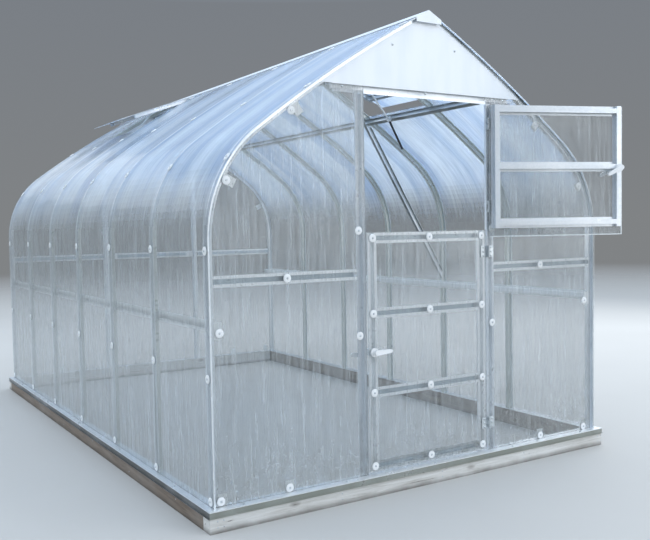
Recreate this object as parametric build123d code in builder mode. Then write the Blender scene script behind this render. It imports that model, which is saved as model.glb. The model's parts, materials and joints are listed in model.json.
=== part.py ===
from build123d import *
import os
from math import acos, atan2, cos, degrees, radians, sin, sqrt, tan

os.makedirs("parts", exist_ok=True)

# Pointed-arch greenhouse of bent steel hat profiles, clad with clear twin-wall sheets.
# X runs across with the hinge side of the door at +X, Y from front to back, Z up.
# The origin is the middle of the front base beam's underside, in the front wall's plane.

# Overall sizes
length = 4000
half_width = 1240
ridge_height = 2404
bays = 6

# Outline of the cross-section: upright wall, tight shoulder, nearly straight roof
spring_height = 1275
shoulder_radius = 630
shoulder_angle = 53

# Timber beams on the ground and the folded rail that lies on them
base_height = 100
base_rail_thickness = 2
base_ledge = 34
base_seat = 40
base_face = 30
base_lip = 6

# Hat profile: two flanges towards the sheet, the crown towards the inside
hat_width = 52
hat_crown = 26
hat_depth = 25
hat_wall = 1.5

# Cladding sheets
sheet_thickness = 4
sheet_clearance = 0.3
sheet_joint = 4
sheet_overhang = 6

# Lengthwise members
wall_rail_height = 896
purlin_x = 575
ridge_beam_width = 50
ridge_beam_depth = 25
seat_clearance = 0.2

# Ridge cap and gable plates
cap_half_width = 80
cap_thickness = 1.5
cap_end_drop = 62
plate_thickness = 1.5

# Gable frame and doorway
doorway_half = 397
header_underside = 1964
gable_rail_height = 1094
gable_sheet_margin = 18
sheet_door_gap = 2

# Sheet-metal tabs and end plates that hold the gable sheets to the base, rails and arches
tab_width = 44
tab_depth = 26
tab_rise = 55
tab_thickness = 1.5
left_tab_insets = (22.5, 363)
right_tab_insets = (51, 412)
shoulder_tab_angle = 27
roof_tab_x = 785
end_plate_width = 39
end_plate_below = 54
end_plate_above = 23

# Door leaves, each a hat-profile frame with a sheet in front
leaf_gap = 13
leaf_sheet_gap = 6
leaf_split = 1297
leaf_joint = 6
leaf_lap = 40
leaf_step = 12
leaf_bottom_gap = 6
leaf_frame_inset = 4
lower_rail_heights = (138, 504, 896, 1267)
upper_open_angle = 160

# Hinges between the leaves and the right-hand post
hinge_reach = 15
knuckle_radius = 5
pin_radius = 2.5
pin_clearance = 0.3
knuckle_gap = 1
knuckle_length = 20
hinge_plate_thickness = 2
hinge_plate_width = 44
lower_hinge_heights = (250, 1180)
upper_hinge_heights = (1420, 1860)

# Turning handles
handle_height_lower = 705
handle_height_upper = 1624
handle_turn_lower = 2
handle_turn_upper = -27
rose_radius = 22
rose_thickness = 9
spindle_radius = 5
spindle_clearance = 1
lever_stand_off = 32
lever_reach = 84
lever_root_radius = 13
lever_tip_radius = 8.5
lever_thickness = 12

# Latch bar behind the latch-side post
catch_height = 698
catch_reach = 23
catch_length = 68
catch_width = 20
catch_thickness = 9

# Roof vents, one on each slope, propped open; each frame sits in its hole between two arches
vent_bay_right = 2
vent_bay_left = 5
vent_open_angle = 10.7
vent_cap_gap = 4.5
vent_purlin_gap = 35
vent_arch_gap = 3
vent_sheet_gap = 6
vent_lap = 10
vent_edge_gap = 4
vent_sheet_overhang = 125
vent_pin_radius = 4
vent_pin_depth = 17
opener_offset = 36
bracket_size = 18
bracket_width = 24
bracket_height = 30
bracket_overlap = 6
joint_drop = 16
arm_radius = 5
cylinder_radius = 7
cylinder_length = 212
cylinder_lean = 60

# Brace under the right-hand slope, below the third arch
brace_arch = 3
brace_foot_height = 965

# Values worked out from the sizes above
pitch = (length - hat_width) / bays
arch_inset = sheet_thickness + sheet_clearance
crown_inset = arch_inset + hat_depth
rail_inset = crown_inset + seat_clearance
beam_height = base_height - base_rail_thickness
beam_outside = base_ledge - base_rail_thickness
web_face = (hat_width - hat_crown) / 2
sheet_face = web_face - sheet_thickness
post_x = doorway_half + hat_width / 2
shoulder_x = half_width - shoulder_radius
shoulder_end_x = shoulder_x + shoulder_radius * cos(radians(shoulder_angle))
shoulder_end_z = spring_height + shoulder_radius * sin(radians(shoulder_angle))
ridge_run = -shoulder_end_x
ridge_rise = ridge_height - shoulder_end_z
inward_x = -cos(radians(shoulder_angle))
inward_z = -sin(radians(shoulder_angle))
roof_radius = (ridge_run**2 + ridge_rise**2) / (2 * (ridge_run * inward_x + ridge_rise * inward_z))
roof_x = shoulder_end_x + roof_radius * inward_x
roof_z = shoulder_end_z + roof_radius * inward_z
vent_inner_x = cap_half_width + vent_cap_gap
vent_outer_x = purlin_x - vent_purlin_gap
vent_hole_inner_x = vent_inner_x + vent_lap


def roof_angle(inset, x):
    """Angle, about the roof arc's centre, of the point at x on the outline moved inward by inset."""
    return degrees(acos((x - roof_x) / (roof_radius - inset)))


def roof_height(inset, x):
    """Height of the roof outline moved inward by inset, at x."""
    return roof_z + sqrt((roof_radius - inset) ** 2 - (x - roof_x) ** 2)


def arch_y(number):
    """Centre plane of an arch, counted from 1 at the front."""
    return hat_width / 2 + (number - 1) * pitch


def upright(y):
    """Drawing plane across the building, with local x across and local y up."""
    return Plane.XZ.offset(-y)


def finish(builder, name):
    """Label a finished piece and write it."""
    builder.part.label = name
    export_step(builder.part, f"parts/{name}.step")


def half_curve(inset, end_x):
    """Right-hand outline moved inward by inset, from the base up to end_x from the centre."""
    wall_x = half_width - inset
    Line((wall_x, base_height), (wall_x, spring_height))
    CenterArc((shoulder_x, spring_height), shoulder_radius - inset, 0, shoulder_angle)
    sweep_angle = roof_angle(inset, end_x) - shoulder_angle
    CenterArc((roof_x, roof_z), roof_radius - inset, shoulder_angle, sweep_angle)


def half_band(outer, inner, end_x):
    """Closed strip between two insets of the right-hand outline."""
    with BuildLine() as outline:
        half_curve(outer, end_x)
        half_curve(inner, end_x)
        Line((half_width - outer, base_height), (half_width - inner, base_height))
        Line((end_x, roof_height(outer, end_x)), (end_x, roof_height(inner, end_x)))
    make_face(outline.edges())


def inside_face(inset):
    """Whole cross-section inside the outline moved inward by inset."""
    with BuildLine() as outline:
        half_curve(inset, 0)
        Line((0, roof_height(inset, 0)), (0, base_height))
        Line((0, base_height), (half_width - inset, base_height))
    make_face(outline.edges())
    mirror(about=Plane.YZ)


def hat_section():
    """Hat profile with its flange faces on local y = 0 and its crown below."""
    edge = hat_width / 2
    web = hat_crown / 2
    bend = web - hat_wall
    with BuildLine() as outline:
        Polyline(
            (-edge, 0), (-bend, 0), (-bend, hat_wall - hat_depth), (bend, hat_wall - hat_depth),
            (bend, 0), (edge, 0), (edge, -hat_wall), (web, -hat_wall), (web, -hat_depth),
            (-web, -hat_depth), (-web, -hat_wall), (-edge, -hat_wall), close=True,
        )
    make_face(outline.edges())


def hat_plane(start, along, outward):
    """Plane for a hat section whose bar runs along, with its flanges facing outward."""
    across = Vector(outward).cross(Vector(along))
    return Plane(origin=start, x_dir=across, z_dir=along)


def hat_bar(start, along, outward, reach):
    """Straight hat bar, added to the part that is being built."""
    with BuildSketch(hat_plane(start, along, outward)) as section:
        hat_section()
    extrude(section.sketch, amount=reach)


# Base beams: front and back run the full width, the sides fit between them
beam_out_x = half_width + beam_outside
beam_width = beam_outside + base_seat - base_rail_thickness
for name, low_y in (("front", -beam_outside), ("back", length + beam_outside - beam_width)):
    with BuildPart() as beam:
        with BuildSketch(Plane.XY):
            with Locations((0, low_y)):
                Rectangle(2 * beam_out_x, beam_width, align=(Align.CENTER, Align.MIN))
        extrude(amount=beam_height)
    finish(beam, f"base_beam_{name}")

side_beam_length = length + 2 * beam_outside - 2 * beam_width
for name, side in (("left", -1), ("right", 1)):
    with BuildPart() as beam:
        with BuildSketch(Plane.XY):
            with Locations((side * (beam_out_x - beam_width / 2), length / 2)):
                Rectangle(beam_width, side_beam_length)
        extrude(amount=beam_height)
    finish(beam, f"base_beam_{name}")


def base_rail(start, along, outward, reach):
    """Folded rail with a seat, a face and a lip, mitred at both ends."""
    foot = base_height - base_face
    lip = foot + base_rail_thickness
    with BuildSketch(hat_plane(start, along, outward)) as section:
        with BuildLine():
            Polyline(
                (-base_height, -base_seat), (-base_height, base_ledge), (-lip, base_ledge),
                (-lip, base_ledge + base_lip), (-foot, base_ledge + base_lip),
                (-foot, base_ledge - base_rail_thickness), (-beam_height, base_ledge - base_rail_thickness),
                (-beam_height, -base_seat), close=True,
            )
        make_face()
    extrude(section.sketch, amount=reach)
    middle = Vector(start) + Vector(along) * (reach / 2)
    corner = reach / 2 - base_ledge - base_lip
    for end in (-1, 1):
        origin = middle + Vector(along) * (end * corner)
        split(bisect_by=Plane(origin=origin, z_dir=Vector(along) * end - Vector(outward)), keep=Keep.BOTTOM)


rail_reach = base_ledge + base_lip
rail_runs = {
    "front": ((half_width + rail_reach, 0, 0), (-1, 0, 0), (0, -1, 0), 2 * (half_width + rail_reach)),
    "back": ((-half_width - rail_reach, length, 0), (1, 0, 0), (0, 1, 0), 2 * (half_width + rail_reach)),
    "left": ((-half_width, -rail_reach, 0), (0, 1, 0), (-1, 0, 0), length + 2 * rail_reach),
    "right": ((half_width, length + rail_reach, 0), (0, -1, 0), (1, 0, 0), length + 2 * rail_reach),
}
for name, run in rail_runs.items():
    with BuildPart() as rail:
        base_rail(*run)
    finish(rail, f"base_rail_{name}")


# Arches: a hat section swept up one side to the ridge, trimmed there and mirrored
for number in range(1, bays + 2):
    with BuildPart() as arch:
        with BuildLine(upright(arch_y(number))):
            half_curve(arch_inset, 0)
        foot = (half_width - arch_inset, arch_y(number), base_height)
        with BuildSketch(hat_plane(foot, (0, 0, 1), (1, 0, 0))):
            hat_section()
        sweep()
        split(bisect_by=Plane.YZ, keep=Keep.TOP)
        mirror(about=Plane.YZ)
    finish(arch, f"arch_{number}")


# Rails along the walls and purlins along the roof, seated on the arches' crowns
rail_start = web_face + hat_wall
rail_span = length - 2 * rail_start
with BuildPart() as wall_rails:
    for side in (-1, 1):
        start = (side * (half_width - rail_inset), rail_start, wall_rail_height)
        hat_bar(start, (0, 1, 0), (side, 0, 0), rail_span)
finish(wall_rails, "wall_rails")

purlin_angle = roof_angle(rail_inset, purlin_x)
purlin_slope = 90 - purlin_angle
crown_x = purlin_x - hat_depth * sin(radians(purlin_slope))
crown_z = roof_height(rail_inset, purlin_x) - hat_depth * cos(radians(purlin_slope))
with BuildPart() as purlins:
    for side in (-1, 1):
        outward = (side * cos(radians(purlin_angle)), 0, sin(radians(purlin_angle)))
        start = (side * purlin_x, rail_start, roof_height(rail_inset, purlin_x))
        hat_bar(start, (0, 1, 0), outward, rail_span)
finish(purlins, "purlins")

with BuildPart() as ridge_beam:
    top = roof_height(rail_inset, ridge_beam_width / 2)
    with BuildSketch(upright(rail_start)):
        with Locations((0, top)):
            Rectangle(ridge_beam_width, ridge_beam_depth, align=(Align.CENTER, Align.MAX))
        with Locations((0, top - hat_wall)):
            Rectangle(
                ridge_beam_width - 2 * hat_wall, ridge_beam_depth, align=(Align.CENTER, Align.MAX),
                mode=Mode.SUBTRACT,
            )
    extrude(amount=-rail_span)
finish(ridge_beam, "ridge_beam")


# Folded cap over the ridge, closed by a small plate at each end
cap_start = -sheet_overhang - cap_thickness
cap_span = length - 2 * cap_start
cap_base = ridge_height + sheet_clearance
ridge_slope = radians(90 - roof_angle(0, 0))
cap_drop = cap_half_width * sin(ridge_slope) / cos(ridge_slope)
cap_rise = cap_thickness / cos(ridge_slope)
with BuildPart() as ridge_cap:
    with BuildSketch(upright(cap_start)):
        with BuildLine():
            Polyline(
                (-cap_half_width, cap_base - cap_drop), (0, cap_base),
                (cap_half_width, cap_base - cap_drop), (cap_half_width, cap_base - cap_drop + cap_rise),
                (0, cap_base + cap_rise), (-cap_half_width, cap_base - cap_drop + cap_rise), close=True,
            )
        make_face()
    extrude(amount=-cap_span)
    for end_y in (cap_start, cap_start + cap_span - cap_thickness):
        with BuildSketch(upright(end_y)):
            with BuildLine():
                Polyline(
                    (-cap_half_width, ridge_height - cap_end_drop),
                    (cap_half_width, ridge_height - cap_end_drop),
                    (cap_half_width, cap_base - cap_drop + cap_rise), (0, cap_base + cap_rise),
                    (-cap_half_width, cap_base - cap_drop + cap_rise), close=True,
                )
            make_face()
        extrude(amount=-cap_thickness)
finish(ridge_cap, "ridge_cap")


# Gable frames: posts, header and rails between the arch's crown and the posts. The header
# ends where it meets the purlin's crown or the arch's crown, whichever comes first.
header_top = header_underside + hat_width
header_web_top = header_top - web_face
purlin_run = (crown_z - header_web_top) / tan(radians(purlin_slope))
header_to_purlin = crown_x + purlin_run - seat_clearance / sin(radians(purlin_slope))
arch_run = sqrt((roof_radius - crown_inset) ** 2 - (header_top - roof_z) ** 2)
header_half = min(header_to_purlin, roof_x + arch_run - seat_clearance)


def gable_bars(wall_y, outward, with_middle_rail):
    """Post, header and rail starts, directions and lengths for one gable."""
    inner_x = half_width - crown_inset
    bars = {
        "post_left": ((-post_x, wall_y, base_height), (0, 0, 1), header_underside - base_height),
        "post_right": ((post_x, wall_y, base_height), (0, 0, 1), header_underside - base_height),
        "header": ((-header_half, wall_y, header_underside + hat_width / 2), (1, 0, 0), 2 * header_half),
        "rail_left": ((-inner_x, wall_y, gable_rail_height), (1, 0, 0), inner_x - post_x - hat_width / 2),
        "rail_right": (
            (post_x + hat_width / 2, wall_y, gable_rail_height), (1, 0, 0),
            inner_x - post_x - hat_width / 2,
        ),
    }
    if with_middle_rail:
        bars["rail_middle"] = ((-doorway_half, wall_y, gable_rail_height), (1, 0, 0), 2 * doorway_half)
    return bars


front_bars = gable_bars(web_face, (0, -1, 0), False)
for name, keys in (
    ("door_posts", ("post_left", "post_right")),
    ("door_header", ("header",)),
    ("front_gable_rails", ("rail_left", "rail_right")),
):
    with BuildPart() as bars:
        for key in keys:
            start, along, reach = front_bars[key]
            hat_bar(start, along, (0, -1, 0), reach)
    finish(bars, name)

back_face = length - web_face
with BuildPart() as back_frame:
    for start, along, reach in gable_bars(back_face, (0, 1, 0), True).values():
        hat_bar(start, along, (0, 1, 0), reach)
finish(back_frame, "back_gable_frame")


# Side sheets, bent over wall, shoulder and roof, two to a side, cut out under each vent
vent_run = vent_outer_x - vent_inner_x
vent_chord = roof_height(0, vent_inner_x) - roof_height(0, vent_outer_x)
closed_slope = degrees(atan2(vent_chord, vent_run))
sheet_middle = length / 2
sheet_runs = (
    (-sheet_overhang, sheet_middle - sheet_joint / 2),
    (sheet_middle + sheet_joint / 2, length + sheet_overhang),
)
for name, side, vent_bay in (("left", -1, vent_bay_left), ("right", 1, vent_bay_right)):
    with BuildPart() as side_sheets:
        for low_y, high_y in sheet_runs:
            with BuildSketch(upright(low_y)):
                half_band(0, sheet_thickness, sheet_joint / 2)
                if side < 0:
                    mirror(about=Plane.YZ, mode=Mode.REPLACE)
            extrude(amount=low_y - high_y)
        hole_low = arch_y(vent_bay) + hat_crown / 2
        hole_high = arch_y(vent_bay + 1) - hat_crown / 2
        with BuildSketch(Plane.XY.offset(spring_height)):
            with Locations((side * (vent_hole_inner_x + purlin_x) / 2, (hole_low + hole_high) / 2)):
                Rectangle(purlin_x - vent_hole_inner_x, hole_high - hole_low)
        extrude(amount=ridge_height, mode=Mode.SUBTRACT)
    finish(side_sheets, f"side_sheets_{name}")


# Flat gable sheets on the arch's web, and the metal plate above the header
plate_foot = header_top - web_face
sheet_top = plate_foot - sheet_joint / 2


def gable_sheet(face_y, low_x, high_x, top, thickness):
    """Part of the gable's cross-section between two x values, up to top."""
    with BuildSketch(upright(face_y)) as profile:
        inside_face(gable_sheet_margin)
        with Locations(((low_x + high_x) / 2, base_height)):
            Rectangle(high_x - low_x, top - base_height, align=(Align.CENTER, Align.MIN), mode=Mode.INTERSECT)
    extrude(profile.sketch, amount=-thickness)


def gable_plate(face_y):
    """Triangular plate over the header."""
    with BuildSketch(upright(face_y)) as profile:
        inside_face(gable_sheet_margin)
        with Locations((0, base_height)):
            Rectangle(
                2 * half_width, plate_foot - base_height, align=(Align.CENTER, Align.MIN),
                mode=Mode.SUBTRACT,
            )
    extrude(profile.sketch, amount=-plate_thickness)


with BuildPart() as front_sheets:
    doorway_edge = doorway_half + sheet_door_gap
    for low_x, high_x in ((-half_width, -doorway_edge), (doorway_edge, half_width)):
        gable_sheet(sheet_face, low_x, high_x, sheet_top, sheet_thickness)
finish(front_sheets, "front_sheets")

with BuildPart() as front_plate:
    gable_plate(web_face - plate_thickness)
finish(front_plate, "front_gable_plate")

with BuildPart() as back_sheets:
    for low_x, high_x in (
        (-half_width, -post_x - sheet_joint / 2),
        (-post_x + sheet_joint / 2, post_x - sheet_joint / 2),
        (post_x + sheet_joint / 2, half_width),
    ):
        gable_sheet(length - web_face, low_x, high_x, sheet_top, sheet_thickness)
finish(back_sheets, "back_sheets")

with BuildPart() as back_plate:
    gable_plate(length - web_face)
finish(back_plate, "back_gable_plate")


# Tabs behind the gable sheets' edges: some stand on the base rail, some on the arches' crowns
def tab(origin, inward, rise_direction):
    """Bent tab with its foot running inward and its leg rising from the seat behind the sheet."""
    across = Vector(inward).cross(Vector(rise_direction))
    with BuildSketch(Plane(origin=origin, x_dir=inward, z_dir=across)) as section:
        with BuildLine():
            Polyline(
                (0, 0), (tab_depth, 0), (tab_depth, tab_thickness), (tab_thickness, tab_thickness),
                (tab_thickness, tab_rise), (0, tab_rise), close=True,
            )
        make_face()
    extrude(section.sketch, amount=tab_width / 2, both=True)


crown_wall_x = half_width - crown_inset
crown_arcs = (
    (shoulder_x, spring_height, shoulder_radius - crown_inset, shoulder_tab_angle),
    (roof_x, roof_z, roof_radius - crown_inset, roof_angle(crown_inset, roof_tab_x)),
)
with BuildPart() as gable_brackets:
    for face_y, inward in ((web_face, 1), (length - web_face, -1)):
        for side, insets in ((-1, left_tab_insets), (1, right_tab_insets)):
            for inset in insets:
                tab((side * (crown_wall_x - inset), face_y, base_height), (0, inward, 0), (0, 0, 1))
            for centre_x, centre_z, radius, angle in crown_arcs:
                seat_radius = sqrt(radius**2 - (tab_width / 2) ** 2) - seat_clearance
                out_x = cos(radians(angle))
                out_z = sin(radians(angle))
                seat = (side * (centre_x + seat_radius * out_x), face_y, centre_z + seat_radius * out_z)
                tab(seat, (0, inward, 0), (-side * out_x, 0, -out_z))
            with BuildSketch(upright(face_y)) as end_plate:
                with Locations((
                    side * (crown_wall_x - seat_clearance - end_plate_width / 2),
                    wall_rail_height + (end_plate_above - end_plate_below) / 2,
                )):
                    Rectangle(end_plate_width, end_plate_above + end_plate_below)
            extrude(end_plate.sketch, amount=-inward * hat_wall)
finish(gable_brackets, "gable_brackets")


# Door leaves. On a leaf's plane local x is measured from the hinge axis, negative towards
# the free edge, local y is the height and the offset is measured outward from the axis.
hinge_x = doorway_half
hinge_y = sheet_face - hinge_reach


def leaf_plane(angle, out=0):
    """Plane of a leaf that is opened by an angle, moved outward from the hinge axis."""
    facing = Vector(sin(radians(angle)), -cos(radians(angle)), 0)
    origin = Vector(hinge_x, hinge_y, 0) + facing * out
    return Plane(origin=origin, x_dir=(cos(radians(angle)), sin(radians(angle)), 0), z_dir=facing)


def leaf_frame(plane, bottom, top, rail_heights, spindle_height):
    """Two stiles and the rails between them, with a hole for the spindle."""
    facing = plane.z_dir
    left = -2 * doorway_half + leaf_gap + hat_width / 2
    right = -leaf_gap - hat_width / 2
    for x in (left, right):
        hat_bar(plane.from_local_coords((x, bottom, 0)), (0, 0, 1), facing, top - bottom)
    rail_left = left + hat_crown / 2 - hat_wall / 2
    rail_length = right - hat_crown / 2 + hat_wall / 2 - rail_left
    for height in rail_heights:
        hat_bar(plane.from_local_coords((rail_left, height, 0)), plane.x_dir, facing, rail_length)
    with BuildSketch(plane) as hole:
        with Locations((left, spindle_height)):
            Circle(spindle_radius + spindle_clearance)
    extrude(hole.sketch, amount=-2 * hat_depth, mode=Mode.SUBTRACT)


def leaf_sheet(plane, bottom, top, spindle_height):
    """Flat sheet lying on the frame's flanges."""
    centre = -doorway_half
    with BuildSketch(plane) as outline:
        with Locations((centre, (bottom + top) / 2)):
            Rectangle(2 * (doorway_half - leaf_sheet_gap), top - bottom)
        with Locations((centre - doorway_half + leaf_gap + hat_width / 2, spindle_height)):
            Circle(spindle_radius + spindle_clearance, mode=Mode.SUBTRACT)
    extrude(outline.sketch, amount=sheet_thickness)


def handle(plane, height, turn):
    """Spindle through the stile with a rose and a lever on each side, both turned the same way."""
    centre = (-2 * doorway_half + leaf_gap + hat_width / 2, height)
    outer_face = sheet_thickness + seat_clearance
    inner_face = hat_depth + seat_clearance
    outer_end = sheet_thickness + lever_stand_off
    inner_end = hat_depth + lever_stand_off
    with BuildSketch(plane.offset(-inner_end)) as spindle:
        with Locations(centre):
            Circle(spindle_radius)
    extrude(spindle.sketch, amount=inner_end + outer_end)
    for face, direction in ((outer_face, 1), (-inner_face, -1)):
        with BuildSketch(plane.offset(face)) as rose:
            with Locations(centre):
                Circle(rose_radius)
        extrude(rose.sketch, amount=direction * rose_thickness)
    for start in (outer_end - lever_thickness, -inner_end):
        with BuildSketch(plane.offset(start)) as lever:
            with Locations(Location(centre + (0,), (0, 0, turn))):
                with Locations((0, 0)):
                    Circle(lever_root_radius)
                with Locations((lever_reach, 0)):
                    Circle(lever_tip_radius)
            make_hull()
        extrude(lever.sketch, amount=lever_thickness)


lower_out = -hinge_reach - sheet_thickness
upper_out = lower_out + leaf_step
frame_top_lower = leaf_split - leaf_frame_inset
frame_bottom_upper = leaf_split + leaf_joint
frame_top_upper = header_underside - leaf_joint
upper_rail_heights = (
    frame_bottom_upper + hat_width / 2,
    (frame_bottom_upper + frame_top_upper) / 2,
    frame_top_upper - hat_width / 2,
)
lower_plane = leaf_plane(0, lower_out)
upper_plane = leaf_plane(upper_open_angle, upper_out)

with BuildPart() as lower_frame:
    leaf_frame(
        lower_plane, lower_rail_heights[0] - hat_width / 2, frame_top_lower, lower_rail_heights,
        handle_height_lower,
    )
finish(lower_frame, "lower_leaf_frame")

with BuildPart() as lower_sheet:
    leaf_sheet(lower_plane, base_height + leaf_bottom_gap, leaf_split, handle_height_lower)
finish(lower_sheet, "lower_leaf_sheet")

with BuildPart() as lower_handle:
    handle(lower_plane, handle_height_lower, handle_turn_lower)
finish(lower_handle, "lower_handle")

with BuildPart() as upper_frame:
    leaf_frame(upper_plane, frame_bottom_upper, frame_top_upper, upper_rail_heights, handle_height_upper)
finish(upper_frame, "upper_leaf_frame")

with BuildPart() as upper_sheet:
    leaf_sheet(upper_plane, leaf_split - leaf_lap, frame_top_upper, handle_height_upper)
finish(upper_sheet, "upper_leaf_sheet")

with BuildPart() as upper_handle:
    handle(upper_plane, handle_height_upper, handle_turn_upper)
finish(upper_handle, "upper_handle")


# Hinges: two fixed knuckles with the pin on the post, one turning knuckle on the leaf
def axis_plane(plane, height):
    """Level plane on the hinge axis, with local x along the leaf and local y inward."""
    return Plane(origin=(hinge_x, hinge_y, height), x_dir=plane.x_dir, z_dir=(0, 0, 1))


def knuckle(plane, low, high, bored):
    """Round knuckle about the hinge axis between two heights."""
    with BuildSketch(axis_plane(plane, low)) as ring:
        Circle(knuckle_radius)
        if bored:
            Circle(pin_radius + pin_clearance, mode=Mode.SUBTRACT)
    extrude(ring.sketch, amount=high - low)


def crank(plane, low, high, side, reach):
    """Web from the knuckle's edge inward to the plate."""
    near = side * (knuckle_radius - hinge_plate_thickness / 2)
    with BuildSketch(axis_plane(plane, low)) as web:
        with Locations((near, 0)):
            Rectangle(hinge_plate_thickness, reach, align=(Align.CENTER, Align.MIN))
    extrude(web.sketch, amount=high - low)


def hinge_plate(plane, low, high, side, reach, near):
    """Flat plate that is screwed down, from near the axis outward along the leaf or post."""
    with BuildSketch(axis_plane(plane, low)) as plate:
        with Locations((side * (near + hinge_plate_width) / 2, reach)):
            Rectangle(hinge_plate_width - near, hinge_plate_thickness, align=(Align.CENTER, Align.MAX))
    extrude(plate.sketch, amount=high - low)


closed = leaf_plane(0)
plate_root = knuckle_radius - hinge_plate_thickness
plate_clear = knuckle_radius + knuckle_gap
half_middle = knuckle_length / 2
half_total = half_middle + knuckle_gap + knuckle_length
with BuildPart() as post_hinges:
    for height in lower_hinge_heights + upper_hinge_heights:
        low_end = height - half_total
        high_end = height + half_total
        for low, high in ((low_end, low_end + knuckle_length), (high_end - knuckle_length, high_end)):
            knuckle(closed, low, high, False)
            crank(closed, low, high, 1, hinge_reach)
            hinge_plate(closed, low, high, 1, hinge_reach, plate_root)
        hinge_plate(closed, low_end, high_end, 1, hinge_reach, plate_clear)
        with BuildSketch(axis_plane(closed, low_end)) as pin:
            Circle(pin_radius)
        extrude(amount=2 * half_total)
finish(post_hinges, "post_hinges")

for name, plane, heights, reach in (
    ("lower_hinges", lower_plane, lower_hinge_heights, hinge_reach),
    ("upper_hinges", upper_plane, upper_hinge_heights, hinge_reach - leaf_step),
):
    with BuildPart() as leaf_hinges:
        for height in heights:
            knuckle(plane, height - half_middle, height + half_middle, True)
            crank(plane, height - half_middle, height + half_middle, -1, reach)
            hinge_plate(plane, height - half_middle, height + half_middle, -1, reach, plate_root)
            hinge_plate(plane, height - half_total, height + half_total, -1, reach, plate_clear)
    finish(leaf_hinges, name)


# Latch bar across the back of the latch-side post, with its round end showing beside the post
with BuildPart() as catch_button:
    with BuildSketch(upright(web_face + hat_depth + seat_clearance)):
        with Locations((-post_x - hat_width / 2 - catch_reach + catch_length / 2, catch_height)):
            SlotOverall(catch_length, catch_width)
    extrude(amount=-catch_thickness)
finish(catch_button, "catch_button")


# Roof vents. On a vent's plane local x runs down the slope from its hinge edge, and its
# flange faces lie on local z = 0 with the crowns below.
vent_half_span = pitch / 2 - hat_width / 2 - vent_arch_gap
vent_sheet_half = pitch / 2 - vent_sheet_gap
vent_slope = closed_slope - vent_open_angle
hinge_slope = 90 - roof_angle(0, vent_inner_x)
vent_edge_x = vent_inner_x + sheet_clearance * sin(radians(hinge_slope))
vent_edge_z = roof_height(0, vent_inner_x) + sheet_clearance * cos(radians(hinge_slope))
frame_low = vent_lap + vent_edge_gap
frame_high = sqrt(vent_run**2 + vent_chord**2)
frame_middle = (frame_low + frame_high) / 2


def slope_plane(side, slope, x, y, z):
    """Plane that faces up and out, with local x running down the slope on one side."""
    angle = radians(slope)
    down = (side * cos(angle), 0, -sin(angle))
    up = (side * sin(angle), 0, cos(angle))
    return Plane(origin=(side * x, y, z), x_dir=down, z_dir=up)


def hinge_pin(plane, end):
    """Pin from one side bar's web to the web of the arch beside it."""
    pin_low = side_offset + hat_crown / 2 - hat_wall
    pin_high = pitch / 2 - hat_crown / 2 - seat_clearance
    centre = plane.from_local_coords((frame_low + hat_width / 2, end * pin_low, -vent_pin_depth))
    with BuildSketch(Plane(origin=centre, x_dir=plane.x_dir, z_dir=plane.y_dir * end)) as pin:
        Circle(vent_pin_radius)
    extrude(pin.sketch, amount=pin_high - pin_low)


side_offset = vent_half_span - hat_width / 2
bar_start = -side_offset + hat_crown / 2 - hat_wall / 2
for name, side, bay in (("left", -1, vent_bay_left), ("right", 1, vent_bay_right)):
    bay_middle = (arch_y(bay) + arch_y(bay + 1)) / 2
    vent = slope_plane(side, vent_slope, vent_edge_x, bay_middle, vent_edge_z)
    with BuildPart() as vent_frame:
        for offset_y in (-side_offset, side_offset):
            start = vent.from_local_coords((frame_low, offset_y, 0))
            hat_bar(start, vent.x_dir, vent.z_dir, frame_high - frame_low)
        for bar_x in (frame_low + hat_width / 2, frame_middle, frame_high - hat_width / 2):
            hat_bar(vent.from_local_coords((bar_x, bar_start, 0)), vent.y_dir, vent.z_dir, -2 * bar_start)
        for end in (-1, 1):
            hinge_pin(vent, end)
    finish(vent_frame, f"vent_frame_{name}")

    with BuildPart() as vent_sheet:
        with BuildSketch(vent):
            vent_reach = frame_high + vent_sheet_overhang
            Rectangle(vent_reach, 2 * vent_sheet_half, align=(Align.MIN, Align.CENTER))
        extrude(amount=sheet_thickness)
    finish(vent_sheet, f"vent_sheet_{name}")


# Vent openers: bracket on the purlin, arm up to the vent's middle bar, cylinder hanging inside
def opener(side, bay):
    """One opener, added to the part that is being built."""
    bay_middle = (arch_y(bay) + arch_y(bay + 1)) / 2
    vent = slope_plane(side, vent_slope, vent_edge_x, bay_middle, vent_edge_z)
    bracket_y = bay_middle + opener_offset
    purlin_plane = slope_plane(side, purlin_slope, crown_x, bracket_y, crown_z)
    bracket_side = -hat_crown / 2 - seat_clearance
    joint = purlin_plane.from_local_coords((bracket_side - bracket_size / 2, 0, -joint_drop))
    crown_plane = vent.offset(-hat_depth - seat_clearance)
    arm_target = crown_plane.from_local_coords((frame_middle, 0, 0))
    arm_run = Vector(arm_target.X, bracket_y, arm_target.Z) - joint
    arm_skew = arm_radius * tan(radians(arm_run.get_angle(vent.z_dir)))
    with BuildSketch(purlin_plane.offset(bracket_overlap - bracket_height)) as bracket:
        with Locations((bracket_side, 0)):
            Rectangle(bracket_size, bracket_width, align=(Align.MAX, Align.CENTER))
    extrude(bracket.sketch, amount=bracket_height)
    with BuildSketch(Plane(origin=joint, z_dir=arm_run)) as arm:
        Circle(arm_radius)
    extrude(arm.sketch, amount=arm_run.length - arm_skew)
    lean = radians(cylinder_lean)
    with BuildSketch(Plane(origin=joint, z_dir=(side * cos(lean), 0, -sin(lean)))) as cylinder:
        Circle(cylinder_radius)
    extrude(cylinder.sketch, amount=cylinder_length)


with BuildPart() as openers:
    opener(-1, vent_bay_left)
    opener(1, vent_bay_right)
finish(openers, "vent_openers")


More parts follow.
